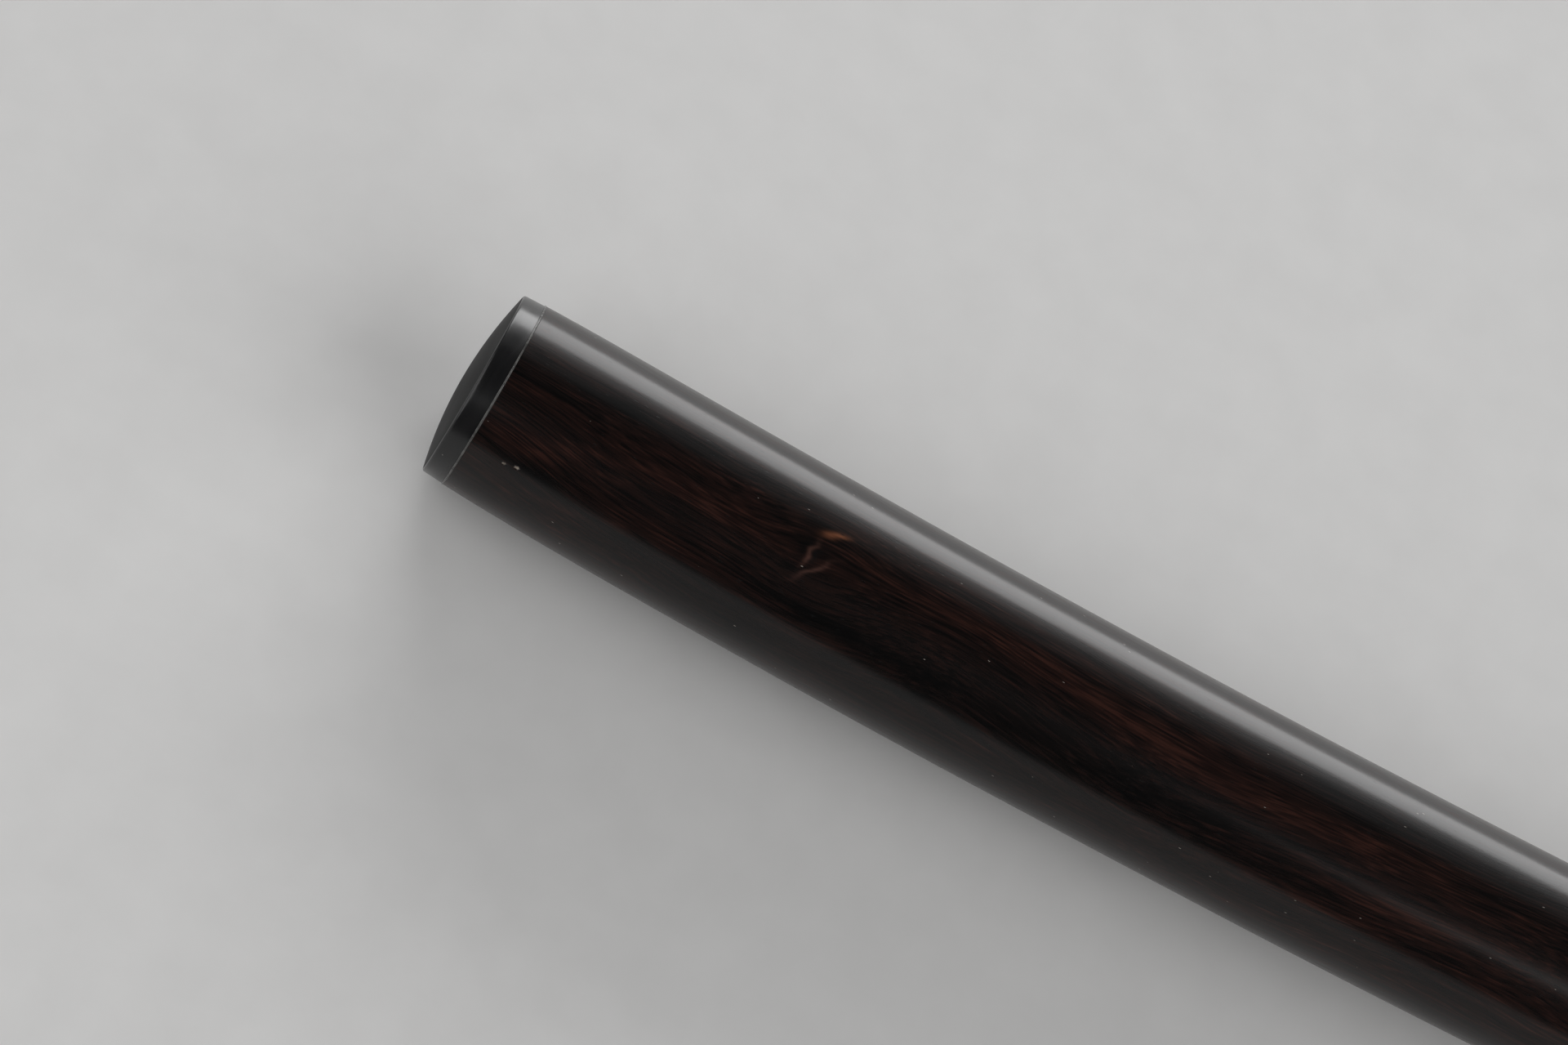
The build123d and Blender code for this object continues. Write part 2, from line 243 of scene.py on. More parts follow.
class Graph:
    """A material's nodes, with a short method for each kind that the materials share."""

    def __init__(self, name, roughness, **numbers):
        self.material = bpy.data.materials.new(name)
        self.material.use_nodes = True
        self.tree = self.material.node_tree
        self.shader = self.tree.nodes["Principled BSDF"]
        self.shader.inputs["Roughness"].default_value = roughness
        for label, number in numbers.items():
            self.shader.inputs[label.replace("_", " ")].default_value = number

    def node(self, kind, inputs=(), **settings):
        made = self.tree.nodes.new(kind)
        for label, value in settings.items():
            setattr(made, label, value)
        for label, value in inputs:
            if isinstance(value, bpy.types.NodeSocket):
                self.tree.links.new(value, made.inputs[label])
            else:
                made.inputs[label].default_value = value
        return made

    def set(self, label, value):
        self.tree.links.new(value, self.shader.inputs[label])

    def math(self, operation, *values):
        return self.node("ShaderNodeMath", list(enumerate(values)), operation=operation).outputs[0]

    def vector(self, operation, *values):
        made = self.node("ShaderNodeVectorMath", list(enumerate(values)), operation=operation)
        return made.outputs["Value" if operation in ("LENGTH", "DOT_PRODUCT") else "Vector"]

    def attribute(self, label, output="Vector"):
        return self.node("ShaderNodeAttribute", attribute_name=label).outputs[output]

    def noise(self, place, cell, detail=2.0, output="Fac", distortion=0.0):
        """Noise whose blotches are about as large as cell, along, facing and across."""
        shrunk = self.vector("DIVIDE", place, cell)
        inputs = [("Vector", shrunk), ("Scale", 1.0), ("Detail", detail), ("Distortion", distortion)]
        return self.node("ShaderNodeTexNoise", inputs).outputs[output]

    def drift(self, place, cell, reach):
        """A shift of up to half of reach either way, from noise about as large as cell."""
        colour = self.noise(place, cell, detail=1.0, output="Color")
        return self.vector("MULTIPLY_ADD", colour, reach, tuple(-share / 2 for share in reach))

    def rotated(self, place, angle, axis):
        inputs = [("Vector", place), ("Angle", angle)]
        return self.node("ShaderNodeVectorRotate", inputs, rotation_type=axis).outputs[0]

    def cells(self, place, cell):
        """Random cells about as large as cell, as a Voronoi node."""
        shrunk = self.vector("DIVIDE", place, cell)
        return self.node("ShaderNodeTexVoronoi", [("Vector", shrunk), ("Scale", 1.0)])

    def chance(self, cells, channel, above):
        """1 in the cells whose random number in this channel is above a limit."""
        split = self.node("ShaderNodeSeparateColor", [("Color", cells.outputs["Color"])])
        return self.math("GREATER_THAN", split.outputs[channel], above)

    def specks(self, cells, size, channel, above):
        """1 within a small distance of the middle of the cells that chance picks."""
        inside = self.math("LESS_THAN", cells.outputs["Distance"], size)
        return self.math("MULTIPLY", inside, self.chance(cells, channel, above))

    def ramp(self, value, *stops):
        """A value mapped over (position, brightness or colour) stops."""
        made = self.node("ShaderNodeValToRGB", [("Fac", value)])
        while len(made.color_ramp.elements) < len(stops):
            made.color_ramp.elements.new(0.5)
        for element, (position, colour) in zip(made.color_ramp.elements, stops):
            element.position = position
            element.color = (*colour, 1) if isinstance(colour, tuple) else (colour, colour, colour, 1)
        return made.outputs["Color"]

    def mix(self, share, first, second, blend="MIX"):
        made = self.node("ShaderNodeMix", data_type="RGBA", blend_type=blend)
        for index, value in ((0, share), (6, first), (7, second)):
            if isinstance(value, bpy.types.NodeSocket):
                self.tree.links.new(value, made.inputs[index])
            elif isinstance(value, tuple):
                made.inputs[index].default_value = (*value, 1)
            else:
                made.inputs[index].default_value = value
        return made.outputs[2]

    def bump(self, height, depth, below=None):
        """A normal from a height between 0 and 1 that stands for depth metres."""
        inputs = [("Height", height), ("Distance", depth), ("Strength", 1.0)]
        if below:
            inputs.append(("Normal", below))
        return self.node("ShaderNodeBump", inputs).outputs["Normal"]


# ---- rosewood -----------------------------------------------------------------------------------

# the wood's figure, in millimetres: along from the tail face, across from the line that faces the
# camera, towards +Y, and tilts in degrees
KNOT_AT = (20.8, 0.93)
KNOT_ARMS = (  # along and across from the knot, tilt, half length, half width, as for the rest
    (-0.52, 0.24, 79, 0.75, 0.17),
    (0.09, -0.56, 48, 1.05, 0.14),
)
KNOT_EYE = (0.37, 1.94, 23, 0.72, 0.22)
KNOT_HEART = (-0.15, 0.27, 60, 0.55, 0.30)
RED_STREAKS = (  # along, across, tilt, half length, half width
    (2.4, 1.55, 3, 2.4, 0.20),
    (9.5, 1.95, 5, 4.5, 0.26),
    (6.0, -0.40, 14, 5.0, 0.55),
    (4.5, -1.45, 12, 4.0, 0.30),
    (9.8, -3.15, 10, 1.3, 0.16),
    (6.5, -4.00, 7, 2.4, 0.22),
    (15.0, 0.90, 2, 6.0, 0.80),
    (23.6, 2.40, 5, 1.3, 0.30),
    (16.0, -2.50, -1, 6.0, 0.45),
    (31.0, 2.10, 1, 9.0, 0.55),
    (44.0, 1.50, -1, 13.0, 0.80),
    (60.0, 2.30, 6, 6.0, 0.50),
    (62.5, -0.70, 8, 6.0, 0.55),
    (56.0, -3.20, 3, 7.0, 0.35),
)
DARK_STREAKS = (  # the same
    (19.9, 1.50, 70, 0.9, 0.30),
    (7.0, 3.40, 2, 9.0, 0.45),
    (25.0, -1.90, 1, 9.0, 0.60),
    (45.0, -1.60, 0, 14.0, 1.20),
    (4.2, -2.90, 8, 2.2, 0.42),
)


# sizes of the grain's layers and of the pores, in millimetres along, facing and across
WANDER_CELL = (24, 9, 9)
WANDER_REACH = (0, 5, 5)
TONE_CELL = (45, 2.6, 2.6)
BAND_CELL = (10, 0.50, 0.50)
LINE_CELL = (2.8, 0.13, 0.13)
FRAY_CELL = (3.0, 0.55, 0.55)
FRAY_REACH = (0.9, 0.5, 0.5)
PORE_CELL = (0.80, 0.21, 0.21)
RAW_CELL = (0.12, 0.12, 0.12)
SPOT_DEPTH = 4.0  # how far below the surface a streak reaches
KNOT_PARTING = (0, 4.2, 2.3)  # tilt, half length and half width of the grain's parting
KNOT_PUSH = 0.75  # how far the grain is pushed aside there

PORE_SIZE, PORE_LIMIT = 0.17, 0.80
# size and rarity of the pale specks painted as glints in a few pores
GLINT_SPECK_SIZE, GLINT_SPECK_LIMIT = 0.10, 0.957
GRAIN_DEPTH = 0.012 * MM
POLISH_DEPTH = 0.0022 * MM  # what is left of the grain's relief in the polish

WOOD_COLOURS = (  # redness, colour
    (0.22, (0.0014, 0.0012, 0.0012)),
    (0.46, (0.0046, 0.0025, 0.0021)),
    (0.70, (0.0135, 0.0052, 0.0039)),
    (0.95, (0.0370, 0.0130, 0.0088)),
)
HEART_COLOUR = (0.0045, 0.0042, 0.0045)
ARM_COLOUR = (0.085, 0.040, 0.031)
EYE_COLOUR = (0.190, 0.070, 0.034)
DARK_PORE_COLOUR = (0.002, 0.0015, 0.0015)
# the painted glint in a few pores
GLINT_SPECK_COLOUR = (0.30, 0.27, 0.24)
# the pit's dark raw wood, and pale patches that are painted glints
PIT_WOOD_AND_GLINT_COLOURS = ((0.35, (0.03, 0.02, 0.014)), (0.6, (0.34, 0.29, 0.24)))


def wood_spot(graph, place, along, across, tilt, half_length, half_width):
    """1 at a spot on the facing side, fading out over its half length and half width."""
    moved = graph.rotated(place, -across * MM / SHAFT_RADIUS, "X_AXIS")
    centred = graph.vector("SUBTRACT", moved, (along, SHAFT_RADIUS / MM, 0))
    levelled = graph.rotated(centred, radians(tilt), "Y_AXIS")
    scaled = graph.vector("DIVIDE", levelled, (half_length, SPOT_DEPTH, half_width))
    away = graph.math("POWER", graph.vector("LENGTH", scaled), 2.0)
    return graph.math("EXPONENT", graph.math("MULTIPLY", away, -1.0))


def knot_spot(graph, place, along, across, *shape):
    """A wood spot whose place is given from the knot."""
    return wood_spot(graph, place, KNOT_AT[0] + along, KNOT_AT[1] + across, *shape)


def strongest(graph, values):
    """The largest of several values."""
    best = values[0]
    for value in values[1:]:
        best = graph.math("MAXIMUM", best, value)
    return best


def rosewood():
    graph = Graph("rosewood", 0.40, Coat_Weight=0.6, Coat_Roughness=0.19, Coat_IOR=1.5, IOR=1.15)
    place = graph.attribute("place")
    # the grain wanders off the axis and parts round the knot
    wander = graph.drift(place, WANDER_CELL, WANDER_REACH)
    parting = wood_spot(graph, place, *KNOT_AT, *KNOT_PARTING)
    knot_turn = KNOT_AT[1] * MM / SHAFT_RADIUS
    across = graph.vector("DOT_PRODUCT", place, (0, -sin(knot_turn), cos(knot_turn)))
    pushed = graph.math("MULTIPLY", graph.math("MULTIPLY", parting, across), -KNOT_PUSH)
    push = graph.node("ShaderNodeCombineXYZ", [("Z", pushed)]).outputs[0]
    grain = graph.vector("ADD", graph.vector("ADD", place, wander), push)

    tone = graph.noise(grain, TONE_CELL, detail=1.0)
    bands = graph.noise(grain, BAND_CELL, detail=2.0)
    lines = graph.noise(grain, LINE_CELL, detail=3.0)
    frayed = graph.vector("ADD", place, graph.drift(place, FRAY_CELL, FRAY_REACH))

    reds = strongest(graph, [wood_spot(graph, frayed, *streak) for streak in RED_STREAKS])
    darks = strongest(graph, [wood_spot(graph, frayed, *streak) for streak in DARK_STREAKS])
    redness = graph.math("MULTIPLY_ADD", tone, 0.5, -0.58)
    for value, share in ((bands, 0.5), (lines, 1.25), (reds, 0.20), (darks, -0.24)):
        redness = graph.math("MULTIPLY_ADD", value, share, redness)
    colour = graph.ramp(redness, *WOOD_COLOURS)
    # the knot: light arms round a dark heart, and one orange eye
    arms = strongest(graph, [knot_spot(graph, frayed, *arm) for arm in KNOT_ARMS])
    heart = knot_spot(graph, frayed, *KNOT_HEART)
    eye = knot_spot(graph, frayed, *KNOT_EYE)
    streaked = graph.math("MULTIPLY_ADD", lines, 1.1, 0.3)
    colour = graph.mix(graph.math("MULTIPLY", heart, 0.8), colour, HEART_COLOUR)
    arm_share = graph.math("MULTIPLY", arms, streaked)
    colour = graph.mix(graph.math("MULTIPLY", arm_share, 0.85), colour, ARM_COLOUR)
    colour = graph.mix(graph.math("MULTIPLY", eye, streaked), colour, EYE_COLOUR)

    # pores: most are dark dashes, and a few are painted pale as glints (painted highlights)
    pores = graph.cells(grain, PORE_CELL)
    dark_pore = graph.specks(pores, PORE_SIZE, "Red", PORE_LIMIT)
    glint_speck = graph.specks(pores, GLINT_SPECK_SIZE, "Green", GLINT_SPECK_LIMIT)
    colour = graph.mix(graph.math("MULTIPLY", dark_pore, 0.6), colour, DARK_PORE_COLOUR)
    colour = graph.mix(glint_speck, colour, GLINT_SPECK_COLOUR)
    # the open pit shows raw wood, with pale patches painted as the glints in it (painted highlights)
    pit_wood_and_glints = graph.ramp(graph.noise(place, RAW_CELL), *PIT_WOOD_AND_GLINT_COLOURS)
    colour = graph.mix(graph.attribute("chipped", "Fac"), colour, pit_wood_and_glints)
    graph.set("Base Color", colour)

    relief = graph.math("MULTIPLY_ADD", bands, 0.5, graph.math("MULTIPLY", lines, 0.5))
    relief = graph.math("SUBTRACT", relief, graph.math("MULTIPLY", dark_pore, 0.6))
    graph.set("Normal", graph.bump(relief, GRAIN_DEPTH))
    graph.set("Coat Normal", graph.bump(relief, POLISH_DEPTH))
    graph.set("Roughness", graph.ramp(lines, (0.3, 0.34), (0.7, 0.50)))
    return graph.material


PIT_AT = (2.69 * MM, radians(-30.1))
PIT_REACH = 0.72 * MM  # half the side of the finely meshed patch round the pit
PIT_MESH = 0.045 * MM
WIDE_COLUMNS = 232  # in a whole turn, away from that patch
NEAR_LENGTH = 68 * MM  # the tail end, with closer rings than the rest
PIT_LOBES = (  # along and round from the pit's middle, half length, half width, depth
    (-0.39 * MM, -0.10 * MM, 0.13 * MM, 0.08 * MM, 0.060 * MM),
    (0.38 * MM, 0.10 * MM, 0.19 * MM, 0.09 * MM, 0.075 * MM),
)


def shaft_radius(along):
    """Radius of the wood at a distance from its tail face."""
    waist = TAIL_WAIST * exp(-along / TAIL_WAIST_FADE)
    swell = TAIL_SWELL * along / TAIL_SWELL_AT * exp(1 - along / TAIL_SWELL_AT)
    return SHAFT_RADIUS - waist + swell


def pit_depth(along, angle):
    """How deep the chip in the polish is, from two small scoops with ragged edges."""
    depth = np.zeros(len(angle))
    for lobe_along, lobe_round, half_length, half_width, lobe_depth in PIT_LOBES:
        u = (along - PIT_AT[0] - lobe_along) / half_length
        v = ((angle - PIT_AT[1]) * SHAFT_RADIUS - lobe_round) / half_width
        ragged = 1 + 0.18 * np.sin(5 * np.arctan2(v, u) + 1.3) + 0.1 * np.sin(9 * np.arctan2(v, u))
        away = np.hypot(u, v) / ragged
        depth = np.maximum(depth, lobe_depth * np.clip(1.5 * (1 - away), 0, 1))
    return depth


RIPPLE_WAVES = (  # share, length along, waves round, offset
    (1.0, 6.1 * MM, 2, 0),
    (0.7, 3.7 * MM, -3, 1),
    (0.5, 11 * MM, 5, 2),
)


def shaft_relief(along, angle):
    """Hand-worked unevenness of the round, and the pit."""
    ripple = np.zeros(len(angle))
    for share, length, round_waves, offset in RIPPLE_WAVES:
        ripple += share * np.sin(along / length + round_waves * angle + offset)
    return RIPPLE * ripple - pit_depth(along, angle)


def spaced(start, stop, step):
    """Distances from start up to, but not at, stop, about a step apart."""
    count = max(1, round((stop - start) / step))
    return [start + (stop - start) * index / count for index in range(count)]


def build_shaft(material):
    length = shaft_length
    pit_start, pit_end = PIT_AT[0] - PIT_REACH, PIT_AT[0] + PIT_REACH
    stations = spaced(EDGE_ROUND * 3, pit_start, 0.3 * MM)
    stations += spaced(pit_start, pit_end, PIT_MESH)
    stations += spaced(pit_end, NEAR_LENGTH, 0.5 * MM)
    stations += spaced(NEAR_LENGTH, length - 1 * MM, 1.25 * MM)
    stations += [length - 1 * MM, length - 0.3 * MM]
    hole_radius, hole_depth = PEG_RADIUS + GLUE_FILM, PEG_LENGTH + GLUE_FILM
    tail = rounded([
        (hole_depth, 0, 0),
        (hole_depth, hole_radius, 0),
        (0, hole_radius, EDGE_ROUND),
        (0, shaft_radius(0), EDGE_ROUND),
        (1 * MM, shaft_radius(1 * MM), 0),
    ])[:-1]
    front = rounded([
        (length - 1 * MM, SHAFT_RADIUS, 0),
        (length, SHAFT_RADIUS, EDGE_ROUND),
        (length, TENON_RADIUS, 0),
        (length + TENON_LENGTH, TENON_RADIUS, EDGE_ROUND * 6),
        (length + TENON_LENGTH, 0, 0),
    ])[1:]
    profile = tail + [(along, shaft_radius(along)) for along in stations] + front
    half_pit = PIT_REACH / SHAFT_RADIUS
    pit_low, pit_high = PIT_AT[1] - half_pit, PIT_AT[1] + half_pit
    fine_angles = spaced(pit_low, pit_high, PIT_MESH / SHAFT_RADIUS)
    wide_angles = spaced(pit_high, pit_low + 2 * pi, 2 * pi / WIDE_COLUMNS)
    angles = np.array(fine_angles + wide_angles)

    def relief(along, ring_angles):
        ends = min(1.0, max(0.0, along / MM), max(0.0, (length - along) / MM))
        return shaft_relief(along, ring_angles) * ends

    shaft = turned("shaft", profile, material, angles=angles, relief=relief)
    place = np.zeros(len(shaft.data.vertices) * 3, np.float32)
    shaft.data.attributes["place"].data.foreach_get("vector", place)
    place = place.reshape(-1, 3)
    around = np.arctan2(place[:, 2], place[:, 1])
    deepest = max(lobe[4] for lobe in PIT_LOBES)
    chipped = np.array([pit_depth(p[0] * MM, np.array([a]))[0] for p, a in zip(place, around)]) / deepest
    outside = np.hypot(place[:, 1], place[:, 2]) * MM > SHAFT_RADIUS * 0.9
    # the pit's mask, for its raw wood and its painted glints
    attribute = shaft.data.attributes.new("chipped", "FLOAT", "POINT")
    attribute.data.foreach_set("value", (np.clip(chipped * 2.5, 0, 1) * outside).astype(np.float32))
    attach(shaft, "handle")
    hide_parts("handle_shaft")


# ---- horn, glue ---------------------------------------------------------------------------------

FLECK_SIZE, FLECK_LIMIT = 0.07, 0.975
END_DULLING = 0.25  # added roughness
END_SPECULAR_CUT = 0.42  # taken from the shader's usual 0.5


def horn(name):
    graph = Graph(name, 0.24, IOR=1.54)
    place = graph.attribute("place")
    fibres = graph.noise(place, (0.9, 5.0, 5.0), detail=3.0, distortion=0.6)
    clouds = graph.noise(place, (6, 3, 3), detail=2.0)
    flecks = graph.cells(place, (0.5, 0.4, 0.4))
    fleck = graph.specks(flecks, FLECK_SIZE, "Red", FLECK_LIMIT)
    colour = graph.ramp(clouds, (0.35, (0.0042, 0.0048, 0.0055)), (0.75, (0.0105, 0.0108, 0.0115)))
    colour = graph.mix(graph.math("MULTIPLY", fibres, 0.35), colour, (0.016, 0.013, 0.012))
    colour = graph.mix(graph.math("MULTIPLY", fleck, 0.7), colour, (0.35, 0.34, 0.32))
    graph.set("Base Color", colour)
    turning = graph.noise(place, (0.03, 4.0, 4.0), detail=1.0)
    height = graph.math("MULTIPLY_ADD", turning, 0.4, graph.math("MULTIPLY", fibres, 0.6))
    graph.set("Normal", graph.bump(height, 0.0012 * MM))
    # the domed end is left duller than the turned wall
    along = graph.node("ShaderNodeSeparateXYZ", [("Vector", place)]).outputs["X"]
    end_face = graph.math("LESS_THAN", along, -CAP_WALL / MM)
    gloss = graph.ramp(fibres, (0.3, 0.19), (0.7, 0.29))
    graph.set("Roughness", graph.math("MULTIPLY_ADD", end_face, END_DULLING, gloss))
    graph.set("Specular IOR Level", graph.math("MULTIPLY_ADD", end_face, -END_SPECULAR_CUT, 0.5))
    return graph.material


def clear_glue():
    graph = Graph("clear_glue", 0.2, IOR=1.5, Coat_Weight=0.5, Coat_Roughness=0.1)
    place = graph.node("ShaderNodeTexCoord").outputs["Object"]
    grey = graph.noise(place, (0.0006, 0.0006, 0.0006), detail=3.0)
    colour = graph.ramp(grey, (0.3, (0.05, 0.05, 0.048)), (0.7, (0.15, 0.146, 0.138)))
    graph.set("Base Color", colour)
    graph.set("Normal", graph.bump(grey, 0.01 * MM))
    graph.set("Roughness", graph.ramp(grey, (0.3, 0.15), (0.7, 0.35)))
    return graph.material


DOME_STEPS = 15
GLUE_BEAD_ROUND = GLUE_LINE * 0.42


def build_cap(material, glue):
    dome_edge = CAP_RIM_RADIUS - CAP_RIM_ROUND
    dome_radius = (dome_edge**2 + CAP_DOME_HEIGHT**2) / (2 * CAP_DOME_HEIGHT)
    dome_centre = -CAP_WALL - CAP_DOME_HEIGHT + dome_radius
    dome = []
    for step in range(1, DOME_STEPS):
        radius = dome_edge * step / DOME_STEPS
        dome.append((dome_centre - sqrt(dome_radius**2 - radius**2), radius))
    body = rounded([
        (-CAP_WALL, dome_edge - CAP_RIM_ROUND * 4, 0),
        (-CAP_WALL, CAP_RIM_RADIUS, CAP_RIM_ROUND),
        (-GLUE_LINE, CAP_SEAM_RADIUS, EDGE_ROUND),
        (-GLUE_LINE, PEG_RADIUS, 0),
        (PEG_LENGTH, PEG_RADIUS, EDGE_ROUND * 4),
        (PEG_LENGTH, 0, 0),
    ])
    rim = [(along, radius) for along, radius in body if radius > dome_edge or along > -CAP_WALL]
    profile = [(-CAP_WALL - CAP_DOME_HEIGHT, 0)] + dome + rim[:-1] + [(PEG_LENGTH, 0)]
    cap = turned("end_cap", profile, material)
    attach(cap, "handle")
    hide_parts("tail_cap")

    hole_radius = PEG_RADIUS + GLUE_FILM
    ring = rounded([
        (PEG_LENGTH, PEG_RADIUS, 0),
        (PEG_LENGTH, hole_radius, 0),
        (0, hole_radius, 0),
        (0, GLUE_BEAD_RADIUS, GLUE_BEAD_ROUND),
        (-GLUE_LINE, GLUE_BEAD_RADIUS, GLUE_BEAD_ROUND),
        (-GLUE_LINE, PEG_RADIUS, 0),
    ])
    seam = turned("end_cap_glue", ring, glue, loop=True)
    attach(seam, "handle")
    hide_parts("tail_joint_glue")


# ---- ferrule ------------------------------------------------------------------------------------

def hermite(start, stop, start_slope, stop_slope, steps):
    """Points of the smooth curve between two (along, radius) points with these slopes."""
    span = stop[0] - start[0]
    points = []
    for step in range(steps):
        t = step / steps
        radius = start[1] * (2 * t**3 - 3 * t**2 + 1) + stop[1] * (3 * t**2 - 2 * t**3)
        radius += span * (start_slope * (t**3 - 2 * t**2 + t) + stop_slope * (t**3 - t**2))
        points.append((start[0] + span * t, radius))
    return points


def build_ferrule(material):
    rear, seat = shaft_length, mouth - SEAT_LENGTH
    swell = (rear + SWELL_AT, SWELL_RADIUS)
    outside = hermite((rear, SHAFT_RADIUS), swell, REAR_SLOPE, 0, 16)
    outside += hermite(swell, (seat, SEAT_STEP_RADIUS), 0, STEP_SLOPE, 10)
    socket_radius = TENON_RADIUS + GLUE_FILM
    back = rounded([
        (rear + SOCKET_DEPTH, 0, 0),
        (rear + SOCKET_DEPTH, socket_radius, 0),
        (rear, socket_radius, EDGE_ROUND),
        (rear, SHAFT_RADIUS, EDGE_ROUND),
        (rear + 1 * MM, outside[1][1], 0),
    ])[:-1]
    front = rounded([
        (seat - 1 * MM, SEAT_STEP_RADIUS - STEP_SLOPE * MM, 0),
        (seat, SEAT_STEP_RADIUS, EDGE_ROUND * 3),
        (seat, SEAT_RADIUS, EDGE_ROUND),
        (mouth, SEAT_RADIUS, MOUTH_ROUND),
        (mouth, BORE_RADIUS, MOUTH_ROUND),
        (mouth - BORE_DEPTH, BORE_RADIUS, EDGE_ROUND),
        (mouth - BORE_DEPTH, 0, 0),
    ])[1:]
    ferrule = turned("ferrule", back + outside[1:] + front, material)
    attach(ferrule, "handle")
    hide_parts("ferrule_cup")


# ---- hair ---------------------------------------------------------------------------------------

def hair(name, root_colour, tip_colour, dark_colour, roughness):
    graph = Graph(name, roughness, IOR=1.5, Sheen_Weight=0.15, Sheen_Roughness=0.4)
    along = graph.attribute("hair_along", "Fac")
    tone = graph.attribute("hair_tone_and_groove_shade", "Fac")
    place = graph.node("ShaderNodeTexCoord").outputs["Object"]
    mottled = graph.noise(place, (0.004, 0.0007, 0.0007), detail=3.0)
    colour = graph.mix(graph.ramp(along, (0.45, 0.0), (1.0, 1.0)), root_colour, tip_colour)
    # darker by each hair's own random tone, and in the bundle's ridge troughs by painted shade
    colour = graph.mix(graph.math("MULTIPLY", tone, 0.55), colour, dark_colour)
    colour = graph.mix(graph.ramp(mottled, (0.40, 0.0), (0.80, 0.45)), colour, dark_colour)
    graph.set("Base Color", colour)
    streaks = graph.noise(place, (0.006, 0.00009, 0.00009), detail=2.0)
    graph.set("Normal", graph.bump(streaks, 0.02 * MM))
    graph.set("Roughness", graph.ramp(streaks, (0.3, roughness - 0.08), (0.7, roughness + 0.12)))
    return graph.material


def tuft_radius(along):
    """Outside of the tuft at a distance from the mouth: a low belly, then a long ogive to the tip."""
    along = np.asarray(along, float)
    rise = (1 - np.cos(pi * np.clip(along, 0, TUFT_BELLY_AT) / TUFT_BELLY_AT)) / 2
    belly = TUFT_ROOT_RADIUS + (TUFT_BELLY_RADIUS - TUFT_ROOT_RADIUS) * rise
    share = np.clip((along - TUFT_BELLY_AT) / (TUFT_LENGTH - TUFT_BELLY_AT), 0, 1)
    point = TIP_RADIUS + (TUFT_BELLY_RADIUS - TIP_RADIUS) * (1 - share**TUFT_TAPER)
    return np.where(along <= TUFT_BELLY_AT, belly, point)


def core_radius(along):
    """Outside of the weasel-hair core."""
    along = np.asarray(along, float)
    left = np.clip(1 - along / COAT_END, 0, 1)
    thinning = (COAT_ROOT_THICKNESS - COAT_END_THICKNESS) * left**1.5
    share = np.clip((along - COAT_END) / (TUFT_LENGTH - COAT_END), 0, 1)
    return tuft_radius(along) - thinning - COAT_END_THICKNESS * (1 - share**2)


# how the tuft is cut into pieces, each listed with two bodies and a window that holds one joint
SECTIONS = (  # from, to, body behind, body ahead, window
    (HAIR_ROOT, 9.25 * MM, "handle", "tuft_base", (0.0 * MM, 8.0 * MM)),
    (9.25 * MM, 22 * MM, "tuft_base", "tuft_belly", (10.5 * MM, 21.5 * MM)),
    (22 * MM, 34 * MM, "tuft_belly", "tuft_shoulder", (22.5 * MM, 33.5 * MM)),
    (34 * MM, TUFT_LENGTH, "tuft_shoulder", "tuft_point", (34.5 * MM, 43.5 * MM)),
)
SECTION_NAMES = ("root", "belly", "shoulder", "point")
STRAND_SIDES = 4
RIDGE_COLUMNS = 180
RIDGES, CROSS_RIDGES = 61, 37  # round the bundle
STRAND_SPACING = 1.0 * MM
BUNDLE_SPACING = 0.8 * MM
CLOSING_RADIUS = 3 * MM  # under this radius the ridges and depths shrink with the tuft

STRAND_JITTER = 0.02  # radians round the tuft
STRAND_SWAY = 0.22 * MM  # how far a hair wanders sideways
STRAND_WAVES = (18 * MM, 40 * MM)
STRAND_THICKNESS_SPREAD = (0.75, 1.2)
STRAND_LIFTS = (0.05 * MM, 0.35 * MM)  # how far the end of a stray hair stands off
STRAND_LIFT_LENGTH = 7 * MM
STRAND_SHORTEST = 0.2 * MM
STRAND_TAPER = 11 * MM  # a hair thins over this length
STRAND_TIP = 0.18  # the share of its thickness left at the end
STRAND_COVER = 0.05 * MM  # the least depth of a hair under the outline
STRAND_LEAST_REACH = 0.004 * MM


def thread_waist(along):
    """How far the bundle is drawn in where the thread ties it."""
    inside = (THREAD_FROM < along) & (along < THREAD_TO)
    return np.where(inside, THREAD_WAIST, 0.0)


def strand_flutes(angle):
    """Shallow flutes down the tuft, as locks of hair make them."""
    return 0.045 * MM * np.sin(17 * angle + 1) + 0.03 * MM * np.sin(41 * angle)


